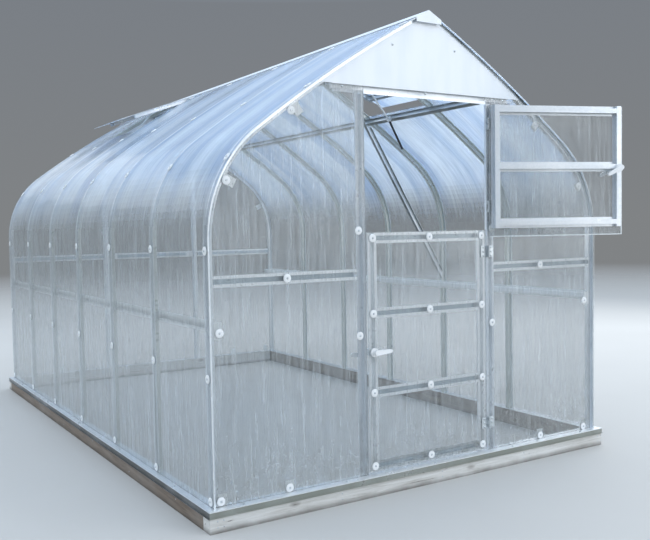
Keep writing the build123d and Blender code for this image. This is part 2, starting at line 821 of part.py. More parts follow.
# Straight brace from the right-hand purlin's crown down to the arch's crown on the wall
with BuildPart() as brace:
    brace_y = arch_y(brace_arch)
    head = Vector(crown_x, brace_y, crown_z)
    foot = Vector(half_width - crown_inset, brace_y, brace_foot_height)
    along = (foot - head).normalized()
    outward = Vector(-along.Z, 0, along.X)
    spare = 2 * hat_width
    start = head - along * spare + outward * (hat_depth / 2)
    hat_bar(start, along, outward, (foot - head).length + 2 * spare)
    head_plane = slope_plane(1, purlin_slope, crown_x, brace_y, crown_z).offset(-seat_clearance)
    split(bisect_by=head_plane, keep=Keep.BOTTOM)
    split(bisect_by=Plane.YZ.offset(half_width - crown_inset - seat_clearance), keep=Keep.BOTTOM)
finish(brace, "roof_brace")
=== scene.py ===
import json
import math

import bpy
from mathutils import Matrix, Vector


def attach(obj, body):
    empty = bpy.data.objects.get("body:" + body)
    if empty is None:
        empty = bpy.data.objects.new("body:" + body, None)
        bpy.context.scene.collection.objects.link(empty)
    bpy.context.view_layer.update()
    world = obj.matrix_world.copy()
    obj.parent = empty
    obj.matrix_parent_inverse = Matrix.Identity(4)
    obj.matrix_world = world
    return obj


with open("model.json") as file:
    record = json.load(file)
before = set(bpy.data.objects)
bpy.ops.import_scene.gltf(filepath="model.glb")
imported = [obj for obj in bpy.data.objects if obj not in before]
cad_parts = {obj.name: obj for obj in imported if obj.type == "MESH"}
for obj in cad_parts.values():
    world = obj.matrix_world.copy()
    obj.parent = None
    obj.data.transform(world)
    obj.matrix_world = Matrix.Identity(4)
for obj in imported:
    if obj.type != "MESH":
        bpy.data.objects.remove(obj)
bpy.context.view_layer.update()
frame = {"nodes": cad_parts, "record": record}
nodes = frame["nodes"]
MM = 0.001

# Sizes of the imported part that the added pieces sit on, in metres
HALF_WIDTH = 1.24
SPRING = 1.275
SHOULDER_RADIUS = 0.63
SHOULDER_ANGLE = math.radians(53)
RIDGE = 2.404
LENGTH = 4.0
HAT = 0.052
BAYS = 6
PITCH = (LENGTH - HAT) / BAYS
FIRST_ARCH = HAT / 2
SHEET_FACE = 0.009
WEB_FACE = 0.013
PLATE_FACE = 0.0115
HINGE_X = 0.397
HINGE_Y = -0.006
HINGE_FACE = 0.007
UPPER_ANGLE = math.radians(160)
LEAF_STEP = 0.012
LEDGE_MIDDLE = 0.020
LEDGE_TOP = 0.100
BEAM_FACE = 0.032

# Places and widths in the finishes and the painted shade, in metres
OPENER_JOINT_HEIGHT = 2.0
RAIL_FACE_TOP = 0.0955
CROWN_DEPTH = 0.018
CROWN_HALF = 0.0145
STILE_X = 0.390
STILE_HALF = 0.062
RIM = 0.005
FLUTE = 6 * MM

shoulder_x = HALF_WIDTH - SHOULDER_RADIUS
end_x = shoulder_x + SHOULDER_RADIUS * math.cos(SHOULDER_ANGLE)
end_z = SPRING + SHOULDER_RADIUS * math.sin(SHOULDER_ANGLE)
inward = (-math.cos(SHOULDER_ANGLE), -math.sin(SHOULDER_ANGLE))
run, rise = -end_x, RIDGE - end_z
ROOF_RADIUS = (run**2 + rise**2) / (2 * (run * inward[0] + rise * inward[1]))
ROOF_X = end_x + ROOF_RADIUS * inward[0]
ROOF_Z = end_z + ROOF_RADIUS * inward[1]


def on_arc(x, z, radius, angle):
    """Point of an arc about x, z, with its angle."""
    return x + radius * math.cos(angle), z + radius * math.sin(angle), angle


def outline(s):
    """Point on the right-hand outline at a length s up from the ground, with the outward angle."""
    if s < SPRING:
        return HALF_WIDTH, s, 0.0
    angle = (s - SPRING) / SHOULDER_RADIUS
    if angle < SHOULDER_ANGLE:
        return on_arc(shoulder_x, SPRING, SHOULDER_RADIUS, angle)
    angle = SHOULDER_ANGLE + (s - SPRING - SHOULDER_RADIUS * SHOULDER_ANGLE) / ROOF_RADIUS
    return on_arc(ROOF_X, ROOF_Z, ROOF_RADIUS, angle)


def arch_y(number):
    """Middle of an arch, counted from the front."""
    return FIRST_ARCH + (number - 1) * PITCH


# Camera at the photograph's place
CAMERA_PLACE = Vector((-2.713, -3.272, 1.326))
CAMERA_YAW = 0.5646
CAMERA_PITCH = -0.0522
CAMERA_ROLL = -0.0171
SENSOR_WIDTH = 36
LENS = 45.70


def aim(location, yaw, pitch, roll):
    """Camera's matrix; yaw turns it from +Y towards +X, pitch tips it up and roll leans it."""
    forward = Vector((math.sin(yaw) * math.cos(pitch), math.cos(yaw) * math.cos(pitch), math.sin(pitch)))
    level = Vector((math.cos(yaw), -math.sin(yaw), 0))
    up = level.cross(forward)
    right = level * math.cos(roll) + up * math.sin(roll)
    up = right.cross(forward)
    turn = Matrix((right, up, -forward)).transposed().to_4x4()
    turn.translation = location
    return turn


camera_data = bpy.data.cameras.new("camera")
camera_data.sensor_width = SENSOR_WIDTH
camera_data.lens = LENS
camera = bpy.data.objects.new("camera", camera_data)
camera.matrix_world = aim(CAMERA_PLACE, CAMERA_YAW, CAMERA_PITCH, CAMERA_ROLL)
bpy.context.scene.collection.objects.link(camera)
bpy.context.scene.camera = camera


# Materials
class Graph:
    """A material's nodes, with short calls to add them."""

    def __init__(self, name):
        self.material = bpy.data.materials.new(name)
        self.material.use_nodes = True
        self.tree = self.material.node_tree
        self.shader = self.tree.nodes["Principled BSDF"]
        self.place = self.add("ShaderNodeTexCoord").outputs["Object"]

    def add(self, kind, inputs=None, **settings):
        made = self.tree.nodes.new(kind)
        for key, value in settings.items():
            setattr(made, key, value)
        for key, value in (inputs or {}).items():
            self.set(made.inputs[key], value)
        return made

    def set(self, socket, value):
        if isinstance(value, bpy.types.NodeSocket):
            self.tree.links.new(value, socket)
        else:
            socket.default_value = value

    def stretch(self, scale, turn=0.0):
        """Object coordinates turned about Z and scaled."""
        made = self.add("ShaderNodeMapping", {
            "Vector": self.place, "Scale": scale, "Rotation": (0, 0, turn),
        })
        return made.outputs["Vector"]

    def axes(self, vector):
        return self.add("ShaderNodeSeparateXYZ", {"Vector": vector}).outputs

    def joined(self, x, y):
        return self.add("ShaderNodeCombineXYZ", {"X": x, "Y": y}).outputs["Vector"]

    def noise(self, vector, scale, detail, rough=0.55, distortion=0.0):
        made = self.add("ShaderNodeTexNoise", {
            "Vector": vector, "Scale": scale, "Detail": detail, "Roughness": rough, "Distortion": distortion,
        })
        return made.outputs["Fac"]

    def cells(self, vector, scale, channel="Red"):
        """Distance from the middle of a cell, and a number of each cell's own from 0 to 1."""
        made = self.add("ShaderNodeTexVoronoi", {"Vector": vector, "Scale": scale})
        colour = self.add("ShaderNodeSeparateColor", {"Color": made.outputs["Color"]})
        return made.outputs["Distance"], colour.outputs[channel]

    def span(self, value, low, high, to_low=0.0, to_high=1.0):
        made = self.add("ShaderNodeMapRange", {
            "Value": value, "From Min": low, "From Max": high, "To Min": to_low, "To Max": to_high,
        })
        return made.outputs["Result"]

    def math(self, operation, a, b=0.0, c=0.0):
        made = self.add("ShaderNodeMath", {0: a, 1: b, 2: c}, operation=operation)
        return made.outputs["Value"]

    def times(self, a, b):
        return self.math("MULTIPLY", a, b)

    def below(self, value, limit):
        return self.math("LESS_THAN", value, limit)

    def above(self, value, limit):
        return self.math("GREATER_THAN", value, limit)

    def away(self, value, middle):
        """How far a value is from a middle one."""
        return self.math("ABSOLUTE", self.math("SUBTRACT", value, middle))

    def total(self, *parts):
        """Sum of (value, weight) pairs."""
        result = 0.0
        for value, weight in parts:
            result = self.math("MULTIPLY_ADD", value, weight, result)
        return result

    def bays(self, y):
        """Bays from the first arch to y, and from the nearest arch to y."""
        passed = self.math("DIVIDE", self.math("SUBTRACT", y, FIRST_ARCH), PITCH)
        return passed, self.away(self.math("FRACT", self.math("ADD", passed, 0.5)), 0.5)

    def mix(self, factor, a, b):
        made = self.add("ShaderNodeMix", data_type="RGBA")
        self.set(made.inputs[0], factor)
        self.set(made.inputs[6], a)
        self.set(made.inputs[7], b)
        return made.outputs[2]

    def true_normal(self):
        return self.add("ShaderNodeNewGeometry").outputs["True Normal"]

    def bump(self, height, distance, strength, under=None):
        inputs = {"Height": height, "Distance": distance, "Strength": strength}
        if under is not None:
            inputs["Normal"] = under
        return self.add("ShaderNodeBump", inputs).outputs["Normal"]

    def done(self, **values):
        """The finished material, its shader's sockets named with _ for a space."""
        for key, value in values.items():
            self.set(self.shader.inputs[key.replace("_", " ")], value)
        return self.material


def rgb(red, green, blue):
    return (red, green, blue, 1.0)


FINE_GRAIN = 0.2 * MM
SPANGLE = 95.0
ROUGH_STEEL = 0.27
STEEL_ROUGHNESS_SPAN = 0.14
STEEL_METALLIC = 0.82
FACE_METALLIC = 0.35
CHANNEL_SHADE_STRENGTH = 0.85
STAIN_STRENGTH = 0.35
STEEL_STAIN = rgb(0.90, 0.91, 0.90)
# Painted shade for the steel's downward faces
STEEL_PAINTED_UNDERSIDE_SHADE = rgb(0.15, 0.165, 0.16)


def gable_channel_shade(g):
    """The channels of a gable's profiles, painted in shade, but not those beside the door's stiles."""
    position = g.axes(g.place)
    deep = g.below(g.away(position["Y"], LENGTH / 2), LENGTH / 2 - CROWN_DEPTH)
    clear_of_stiles = g.above(g.away(g.math("ABSOLUTE", position["X"]), STILE_X), STILE_HALF)
    return g.times(g.times(deep, clear_of_stiles), CHANNEL_SHADE_STRENGTH)


def arch_channel_shade(g):
    """The channel of an arch's profile, painted in shade."""
    off = g.bays(g.axes(g.place)["Y"])[1]
    return g.below(off, CROWN_HALF / PITCH)


def steel(name, light, dark, rough=ROUGH_STEEL, spangle=SPANGLE, metal=STEEL_METALLIC,
          crown=None, flange=None, face=None):
    """Zinc-coated sheet steel with a faint spangle and cloudy patches.

    Without a crown it has pale stains and painted shade on its downward faces. With one, light and dark
    colour only the channel, painted in shade, and flange the rest. face is the colour of a base rail's lower
    band, painted in shade.
    """
    g = Graph(name)
    shade = g.cells(g.place, spangle)[1]
    cloud = g.noise(g.place, scale=3.5, detail=5.0)
    fine = g.noise(g.place, scale=260.0, detail=2.0)
    tone = g.total((shade, 0.30), (g.span(cloud, 0.42, 0.68), 0.70))
    colour = g.mix(tone, light, dark)
    if crown is None:
        stain = g.span(g.noise(g.place, scale=9.0, detail=6.0, rough=0.7), 0.6, 0.78)
        colour = g.mix(g.times(stain, STAIN_STRENGTH), colour, STEEL_STAIN)
        # Painted shade: faces that point down are darkened, patchy with the cloud noise
        down = g.axes(g.true_normal())["Z"]
        under = g.times(g.span(down, -0.12, -0.55), g.span(cloud, 0.3, 0.6, 0.65, 0.95))
        colour = g.mix(under, colour, STEEL_PAINTED_UNDERSIDE_SHADE)
    else:
        # Painted shade in the channel, bright flanges elsewhere
        colour = g.mix(crown(g), flange, colour)
    metallic = metal
    if face is not None:
        # Painted shade on the base rail's lower band below RAIL_FACE_TOP
        painted_band = g.below(g.axes(g.place)["Z"], RAIL_FACE_TOP)
        painted_band = g.times(painted_band, g.span(cloud, 0.25, 0.55, 0.75, 0.95))
        colour = g.mix(painted_band, colour, face)
        metallic = g.span(painted_band, 0.0, 1.0, metal, FACE_METALLIC)
    roughness = g.span(tone, 0.0, 1.0, rough, rough + STEEL_ROUGHNESS_SPAN)
    normal = g.bump(g.total((fine, 1.0), (shade, 0.4)), FINE_GRAIN, 0.5)
    return g.done(Base_Color=colour, Roughness=roughness, Normal=normal, Metallic=metallic)


# Sheet colours: light and dark streaks on the wall are painted highlight and painted shade; the roof's blue
# is a painted reflection of the sky; the band and line over the arches are painted highlights
WALL_STREAK_SHADE, WALL_STREAK_HIGHLIGHT = rgb(0.17, 0.20, 0.20), rgb(0.70, 0.75, 0.77)
ROOF_SKY_REFLECTION_DARK, ROOF_SKY_REFLECTION_LIGHT = rgb(0.30, 0.46, 0.70), rgb(0.84, 0.93, 1.0)
DUST = rgb(0.36, 0.33, 0.25)
DRIED_DROP = rgb(0.85, 0.87, 0.86)
OVER_ARCH_HIGHLIGHT = rgb(0.80, 0.88, 0.94)
ARCH_HIGHLIGHT_LINE = rgb(1.0, 1.0, 1.0)
MILKY_EDGE = rgb(0.92, 0.95, 0.95)
LEAST_VEIL, MOST_VEIL, EDGE_VEIL = 0.06, 0.97, 0.92
RIB_HALF = 0.08
EDGE_ON = 0.7
DROPS = 95.0
DUST_STRENGTH, DROP_STRENGTH, HIGHLIGHT_BAND_STRENGTH = 0.55, 0.6, 0.45
GLANCE_POWER = 5.0
SHEET_ROUGHNESS = 0.20
WALL_TRANSMISSION, ROOF_TRANSMISSION = 0.3, 0.75
SHEET_IOR = 1.58
SKIN_WEIGHT, SKIN_ROUGHNESS, SKIN_IOR = 0.7, 0.07, 1.55
SHEET_RELIEF = 2.5 * MM


def clear_sheet(name, across, turn=0.0, arched=False, rims=None):
    """Clear twin-wall sheet: flutes across one axis, glossy skins with painted streaks of highlight and
    shade, hazy body, milky cut edges.

    turn takes an open leaf's sheet back to its closed place. rims is the x and z there of two milky edges.
    """
    g = Graph(name)
    closed = g.axes(g.stretch((1, 1, 1), turn))
    u = closed["X"] if across == "x" else closed["Y"]
    height = g.axes(g.place)["Z"]
    along = [(height, 0.03)]
    if arched:
        along.append((g.math("ABSOLUTE", closed["X"]), -0.02))
    lengthwise = g.joined(u, g.total(*along))
    streak = g.noise(lengthwise, scale=40.0, detail=4.0, rough=0.70)
    slow = g.noise(lengthwise, scale=5.0, detail=2.0)
    fine = g.noise(lengthwise, scale=190.0, detail=1.0)
    cloud = g.noise(g.place, scale=1.7, detail=3.0, rough=0.6)
    tone = g.span(g.total((streak, 0.55), (fine, 0.45)), 0.34, 0.66)

    # Ribs between the two skins
    saw = g.math("FRACT", g.math("DIVIDE", u, FLUTE))
    rib = g.below(g.away(saw, 0.5), RIB_HALF)

    # Cut edges show the milky ends of the flutes
    turned = g.add("ShaderNodeVectorRotate", {"Vector": g.true_normal(), "Axis": (0, 0, 1), "Angle": turn},
                   rotation_type="AXIS_ANGLE").outputs["Vector"]
    facing = g.axes(turned)
    sideways = g.math("ABSOLUTE", facing["Y"])
    edge = g.above(sideways, EDGE_ON) if across == "y" else g.below(sideways, EDGE_ON)
    if rims is not None:
        for value, place in zip((u, height), rims):
            edge = g.math("MAXIMUM", edge, g.below(g.away(value, place), RIM))

    # Dust and dried drops near the ground
    low = g.math("POWER", g.span(height, 0.1, 0.55, 1.0, 0.0), 2.0)
    dust = g.times(low, g.span(g.noise(g.place, scale=14.0, detail=3.0), 0.35, 0.75))
    from_drop, wet = g.cells(g.place, DROPS)
    speck = g.times(g.span(from_drop, 0.30, 0.20), g.above(wet, 0.6))
    patchy = g.total((low, 0.6), (g.noise(g.place, scale=3.1, detail=2.0), 1.0))
    speck = g.times(speck, g.span(patchy, 0.62, 0.80))

    # Painted highlight and shade in streaks along the flutes
    colour = g.mix(tone, WALL_STREAK_SHADE, WALL_STREAK_HIGHLIGHT)
    veil_parts = [(tone, 0.20), (rib, 0.06), (cloud, 0.08), (dust, 0.15), (speck, 0.40)]
    roughness_parts = [(tone, 0.12)]
    transmission = WALL_TRANSMISSION
    if arched:
        # The roof is painted bluer on its upward faces, a painted reflection of the sky, and is hazier and
        # rougher than the wall
        upward = g.span(g.math("ABSOLUTE", facing["Z"]), 0.10, 0.55)
        roof_tone = g.total((tone, 0.4), (g.span(slow, 0.38, 0.56), 0.6))
        colour = g.mix(upward, colour, g.mix(roof_tone, ROOF_SKY_REFLECTION_DARK, ROOF_SKY_REFLECTION_LIGHT))
        veil_parts.append((upward, 0.42))
        roughness_parts.append((upward, 0.60))
        transmission = g.span(upward, 0.0, 1.0, WALL_TRANSMISSION, ROOF_TRANSMISSION)
    colour = g.mix(g.times(dust, DUST_STRENGTH), colour, DUST)
    colour = g.mix(g.times(speck, DROP_STRENGTH), colour, DRIED_DROP)
    veil = g.math("ADD", g.total(*veil_parts), LEAST_VEIL)
    roughness = g.math("ADD", g.total(*roughness_parts), SHEET_ROUGHNESS)
    swell = g.total((streak, 0.35), (slow, 1.3))

    if arched:
        # A painted highlight band and a brighter painted highlight line where the sheet lies on an arch, and
        # a slight swell between the arches
        passed, off = g.bays(u)
        off = g.times(off, PITCH)
        painted_band = g.span(off, 0.016, 0.034, 1.0, 0.0)
        highlight_line = g.span(off, 0.004, 0.011, 1.0, 0.0)
        colour = g.mix(g.times(painted_band, HIGHLIGHT_BAND_STRENGTH), colour, OVER_ARCH_HIGHLIGHT)
        colour = g.mix(g.times(highlight_line, g.span(upward, 0.0, 1.0, 0.15, 0.85)), colour, ARCH_HIGHLIGHT_LINE)
        veil = g.total((painted_band, 0.16), (g.times(highlight_line, upward), 0.45), (veil, 1.0))
        wave = g.math("COSINE", g.times(passed, 2 * math.pi))
        crease = g.math("POWER", g.span(off, 0.0, 0.036, 1.0, 0.0), 1.5)
        ripple = g.noise(g.joined(g.times(u, 0.6), g.times(height, 2.2)), scale=3.0, detail=2.0)
        swell = g.total((wave, 1.1), (ripple, 1.6), (crease, 0.35), (swell, 1.0))

    # More of the surface shows at a glancing angle
    glance = g.add("ShaderNodeLayerWeight", {"Blend": 0.5}).outputs["Facing"]
    gleam = g.span(g.math("POWER", glance, GLANCE_POWER), 0.0, 1.0, 0.05, 1.0)
    clear = g.times(g.math("SUBTRACT", 1.0, veil), g.math("SUBTRACT", 1.0, gleam))
    veil = g.math("MINIMUM", g.math("SUBTRACT", 1.0, clear), MOST_VEIL)
    veil = g.math("MAXIMUM", veil, g.times(edge, EDGE_VEIL))
    colour = g.mix(edge, colour, MILKY_EDGE)
    normal = g.bump(swell, SHEET_RELIEF, 0.7)
    return g.done(
        Base_Color=colour, Alpha=veil, Normal=normal, Roughness=roughness, IOR=SHEET_IOR,
        Transmission_Weight=transmission, Coat_Weight=SKIN_WEIGHT, Coat_Roughness=SKIN_ROUGHNESS,
        Coat_IOR=SKIN_IOR, Coat_Normal=normal,
    )


LONG_GRAIN = {"x": (1.2, 26, 26), "y": (26, 1.2, 26)}
LONG_KNOTS = {"x": (4.5, 11, 11), "y": (11, 4.5, 11)}
FIBRES_PER_GRAIN = 6
KNOT = rgb(0.10, 0.065, 0.04)
DAMP = rgb(0.09, 0.075, 0.06)
CRACK = rgb(0.07, 0.05, 0.04)
TIMBER_ROUGHNESS = 0.86
TIMBER_RELIEF = 2.5 * MM


def timber(name, along, heart, pale, worn):
    """Weathered softwood beam with grain, knots, cracks and damp lower edges."""
    g = Graph(name)
    from_knot, chosen = g.cells(g.stretch(LONG_KNOTS[along]), 1.0, "Green")
    ring = g.times(g.span(from_knot, 0.20, 0.06), g.above(chosen, 0.62))
    pull = g.times(g.span(from_knot, 0.5, 0.1), 0.5)
    distortion = g.math("ADD", pull, 0.5)
    grain = g.noise(g.stretch(LONG_GRAIN[along]), scale=3.2, detail=8.0, rough=0.65, distortion=distortion)
    long_fibres = g.stretch(tuple(FIBRES_PER_GRAIN * v for v in LONG_GRAIN[along]))
    fibre = g.noise(long_fibres, scale=4.0, detail=3.0, rough=0.7)
    patch = g.noise(g.place, scale=2.2, detail=5.0, rough=0.6)
    height = g.axes(g.place)["Z"]
    uneven = g.total((height, 1.0), (g.noise(g.place, scale=7.0, detail=4.0), 0.03))
    damp = g.span(uneven, 0.015, 0.045, 1.0, 0.0)
    colour = g.mix(g.span(grain, 0.3, 0.68), heart, pale)
    colour = g.mix(g.times(g.span(patch, 0.35, 0.65), 0.6), colour, worn)
    colour = g.mix(g.times(fibre, 0.25), colour, heart)
    colour = g.mix(g.times(ring, 0.8), colour, KNOT)
    colour = g.mix(g.times(damp, 0.75), colour, DAMP)
    colour = g.mix(g.span(grain, 0.36, 0.31), colour, CRACK)
    normal = g.bump(g.total((grain, 1.0), (fibre, 0.4)), TIMBER_RELIEF, 0.8)
    return g.done(Base_Color=colour, Roughness=TIMBER_ROUGHNESS, Normal=normal)


LONG_RUNS = (10, 10, 1.8)
DENTS = 6 * MM
TRIM_METALLIC = 0.15
OPENER_METALLIC = 0.4


def painted(name, base, shadow, rough):
    """Coated sheet steel with soft dents, dust runs and a fine grain."""
    g = Graph(name)
    dent = g.noise(g.place, scale=2.4, detail=2.0)
    runs = g.noise(g.stretch(LONG_RUNS), scale=1.0, detail=5.0, rough=0.6)
    fine = g.noise(g.place, scale=150.0, detail=3.0)
    colour = g.mix(g.span(runs, 0.45, 0.75), base, shadow)
    roughness = g.span(runs, 0.3, 0.8, rough, rough + 0.2)
    normal = g.bump(fine, FINE_GRAIN, 0.3, g.bump(dent, DENTS, 0.5))
    return g.done(Base_Color=colour, Roughness=roughness, Normal=normal, Metallic=TRIM_METALLIC)


def plastic(name, base, worn, rough):
    """Moulded plastic with a fine grain and rubbed spots."""
    g = Graph(name)
    fine = g.noise(g.place, scale=420.0, detail=2.0)
    rubbed = g.span(g.noise(g.place, scale=22.0, detail=4.0), 0.5, 0.75)
    colour = g.mix(rubbed, base, worn)
    roughness = g.span(fine, 0.3, 0.7, rough, rough + 0.15)
    return g.done(Base_Color=colour, Roughness=roughness, Normal=g.bump(fine, FINE_GRAIN, 0.6))


def opener_material(name, black, worn_black, bright, dull):
    """Black cylinder below the joint, zinc-coated bracket and arm above it."""
    g = Graph(name)
    fine = g.noise(g.place, scale=300.0, detail=2.0)
    metal = g.above(g.axes(g.place)["Z"], OPENER_JOINT_HEIGHT)
    shade = g.noise(g.place, scale=40.0, detail=4.0)
    colour = g.mix(metal, g.mix(shade, black, worn_black), g.mix(shade, bright, dull))
    roughness = g.span(fine, 0.3, 0.7, 0.28, 0.42)
    normal = g.bump(fine, FINE_GRAIN, 0.5)
    metallic = g.times(metal, OPENER_METALLIC)
    return g.done(Base_Color=colour, Metallic=metallic, Roughness=roughness, Normal=normal)


zinc_light, zinc_dark = rgb(0.88, 0.91, 0.94), rgb(0.68, 0.73, 0.77)
galvanised = steel("galvanised", zinc_light, zinc_dark)
# Channels painted in shade: blue-grey on the gables and the lower leaf, olive on the arches as a painted
# reflection of grass
gable_steel = steel("gable_steel", rgb(0.47, 0.56, 0.62), rgb(0.33, 0.41, 0.46), metal=0.45,
                    crown=gable_channel_shade, flange=rgb(0.95, 0.97, 0.98))
arch_steel = steel("arch_steel", rgb(0.62, 0.655, 0.62), rgb(0.45, 0.48, 0.455), metal=0.50,
                   crown=arch_channel_shade, flange=rgb(0.90, 0.94, 0.95))
white_steel = steel("white_steel", rgb(0.97, 0.98, 0.97), rgb(0.88, 0.91, 0.91), metal=0.15)
pale_steel = steel("pale_steel", rgb(0.92, 0.95, 0.98), rgb(0.76, 0.81, 0.86), metal=0.45)
# Base rails' lower band: olive on the front and back as painted shade with a painted reflection of grass,
# near black on the sides as painted shade
front_rail_steel = steel("front_rail_steel", rgb(0.97, 0.98, 0.98), rgb(0.86, 0.89, 0.90),
                         face=rgb(0.26, 0.27, 0.23))
side_rail_steel = steel("side_rail_steel", zinc_light, zinc_dark, face=rgb(0.07, 0.07, 0.065))
hinge_metal = steel("hinge_metal", rgb(0.74, 0.78, 0.80), rgb(0.46, 0.50, 0.52), rough=0.24, spangle=160.0)
trim = painted("trim", rgb(0.85, 0.88, 0.91), rgb(0.79, 0.835, 0.875), 0.28)
white = plastic("white_plastic", rgb(0.92, 0.92, 0.91), rgb(0.78, 0.79, 0.78), 0.30)
opener_finish = opener_material("opener", rgb(0.012, 0.012, 0.014), rgb(0.04, 0.04, 0.045),
                                rgb(0.93, 0.95, 0.95), rgb(0.80, 0.83, 0.84))
# Lit and shaded copies of one timber: the front and back beams painted pale as in sunlight, the side beams
# painted dark as in shade
timber_front_lit = timber("timber_front_lit", "x", rgb(0.46, 0.43, 0.38), rgb(0.86, 0.84, 0.80),
                      rgb(0.92, 0.91, 0.88))
timber_side_shaded = timber("timber_side_shaded", "y", rgb(0.12, 0.085, 0.06), rgb(0.33, 0.26, 0.20),
                     rgb(0.36, 0.32, 0.28))
sheet_gable = clear_sheet("sheet_gable", "x")
sheet_side = clear_sheet("sheet_side", "y", arched=True)

# The open leaf's sheet shows its milky lower and free edges
corners = [Vector(v.co) for v in nodes["upper_leaf_sheet"].data.vertices]
turned_back = Matrix.Rotation(-UPPER_ANGLE, 3, "Z")
leaf_rims = (min((turned_back @ c).x for c in corners), min(c.z for c in corners))
sheet_leaf = clear_sheet("sheet_leaf", "x", -UPPER_ANGLE, rims=leaf_rims)


def paint(material, *names):
    """Give a material to every slot of some nodes."""
    for name in names:
        slots = nodes[name].data.materials
        if len(slots) == 0:
            slots.append(material)
        for index in range(len(slots)):
            slots[index] = material


by_slot = {
    "galvanised_steel": galvanised, "hinge_steel": hinge_metal, "white_trim": trim, "white_fittings": white,
    "dark_fittings": opener_finish, "clear_sheet": sheet_gable, "timber": timber_front_lit,
}
for row in frame["record"]["subparts"]:
    paint(by_slot[row["material_slot"]], row["node"])
paint(timber_side_shaded, "base_beam_left", "base_beam_right")
paint(front_rail_steel, "base_rail_front", "base_rail_back")
paint(side_rail_steel, "base_rail_left", "base_rail_right")
paint(gable_steel, "front_gable_rails", "back_gable_frame", "lower_leaf_frame")
paint(white_steel, "gable_brackets", "wall_rails")
paint(arch_steel, *(f"arch_{n}" for n in range(2, BAYS + 1)))
paint(pale_steel, "door_posts", "door_header")
paint(sheet_side, "side_sheets_left", "side_sheets_right", "vent_sheet_left", "vent_sheet_right")
paint(sheet_leaf, "upper_leaf_sheet")


# Small shapes gathered into one mesh per kind
def lathe(profile, segments):
    """Closed turned shape from (radius, height) pairs in millimetres; the ends lie on the axis."""
    verts, faces, rings = [], [], []
    for radius, height in profile:
        if radius == 0:
            rings.append([len(verts)])
            verts.append(Vector((0, 0, height * MM)))
            continue
        ring = []
        for k in range(segments):
            angle = 2 * math.pi * k / segments
            ring.append(len(verts))
            verts.append(Vector((radius * math.cos(angle) * MM, radius * math.sin(angle) * MM, height * MM)))
        rings.append(ring)
    for low, high in zip(rings, rings[1:]):
        for k in range(segments):
            after = (k + 1) % segments
            if len(low) == 1:
                faces.append((low[0], high[k], high[after]))
            elif len(high) == 1:
                faces.append((low[k], low[after], high[0]))
            else:
                faces.append((low[k], low[after], high[after], high[k]))
    if profile[0][1] > profile[-1][1]:
        faces = [tuple(reversed(face)) for face in faces]
    return verts, faces


class Batch:
    """Copies of small shapes, gathered into one object."""

    SMOOTH_BELOW = math.radians(35)

    def __init__(self):
        self.verts = []
        self.faces = []

    def add(self, shape, matrix):
        first = len(self.verts)
        verts, faces = shape
        self.verts.extend(matrix @ v for v in verts)
        self.faces.extend(tuple(first + k for k in face) for face in faces)

    def build(self, name, body, slot_name, material):
        mesh = bpy.data.meshes.new(name)
        mesh.from_pydata(self.verts, [], self.faces)
        mesh.materials.append(material)
        mesh.update()
        made = bpy.data.objects.new(name, mesh)
        bpy.context.scene.collection.objects.link(made)
        mesh.set_sharp_from_angle(angle=self.SMOOTH_BELOW)
        for polygon in mesh.polygons:
            polygon.use_smooth = True
        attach(made, body)


def seat(point, outward, spin=0.0):
    """Placing matrix whose local Z is the outward direction."""
    z = Vector(outward).normalized()
    helper = Vector((0, 0, 1)) if abs(z.z) < 0.9 else Vector((0, 1, 0))
    x = helper.cross(z).normalized()
    y = z.cross(x)
    turn = Matrix((x, y, z)).transposed().to_4x4()
    return Matrix.Translation(Vector(point)) @ turn @ Matrix.Rotation(spin, 4, "Z")


ROUND, HEXAGON, SMALL_ROUND, SHANK_ROUND = 28, 6, 12, 8
WASHER = lathe(((0, 0), (20, 0), (20.2, 0.8), (19.4, 2.2), (16.5, 3.2), (11.5, 3.9), (8.2, 4.3), (7.2, 4.1),
                (6.6, 2.4), (0, 2.4)), ROUND)
SCREW = lathe(((0, 2.0), (5.6, 2.0), (5.6, 3.0), (4.4, 3.2), (4.2, 5.6), (3.4, 6.3), (0, 6.3)), HEXAGON)
SHANK = lathe(((0, -17), (2.1, -12), (2.1, 2.2), (0, 2.2)), SHANK_ROUND)
SMALL_SCREW = lathe(((0, 0), (6.5, 0), (6.5, 1.0), (4.6, 1.4), (4.3, 4.2), (3.2, 4.8), (0, 4.8)), SMALL_ROUND)
NAIL = lathe(((0, 0), (3.6, 0), (3.4, 0.7), (2.0, 1.1), (0, 1.2)), SMALL_ROUND)


def fasten(washers, screws, place):
    """A washer with its hexagonal screw through the sheet."""
    washers.add(WASHER, place)
    screws.add(SCREW, place)
    screws.add(SHANK, place)


# Washers along the arches, by length up the outline, and on the gables, by x and z.
# The screws are turned by varied angles.
WASHER_RUNS = (0.125, 0.670, 1.230, 1.665, 2.210, 2.870)
GABLE_WASHERS = (
    (-0.804, 1.860), (-1.138, 1.537), (-1.187, 0.868), (-0.841, 1.094), (-0.440, 1.305), (-0.440, 0.794),
    (-1.198, 0.123), (-0.848, 0.121), (0.802, 1.094), (1.168, 0.869), (0.432, 0.794), (0.432, 1.305),
    (0.799, 0.120), (1.160, 0.119), (0.763, 1.871), (1.120, 1.538),
)
wall_washers, wall_screws = Batch(), Batch()
for number in range(1, BAYS + 2):
    for side in (-1, 1):
        for s in WASHER_RUNS:
            x, z, angle = outline(s)
            outward = (side * math.cos(angle), 0, math.sin(angle))
            fasten(wall_washers, wall_screws, seat((side * x, arch_y(number), z), outward, 0.4 * number + s))
for y, facing in ((SHEET_FACE, -1), (LENGTH - SHEET_FACE, 1)):
    for x, z in GABLE_WASHERS:
        fasten(wall_washers, wall_screws, seat((x, y, z), (0, facing, 0), 3 * x + z))
wall_washers.build("washers", "greenhouse", "white_fittings", white)
wall_screws.build("washer_screws", "greenhouse", "hinge_steel", hinge_metal)

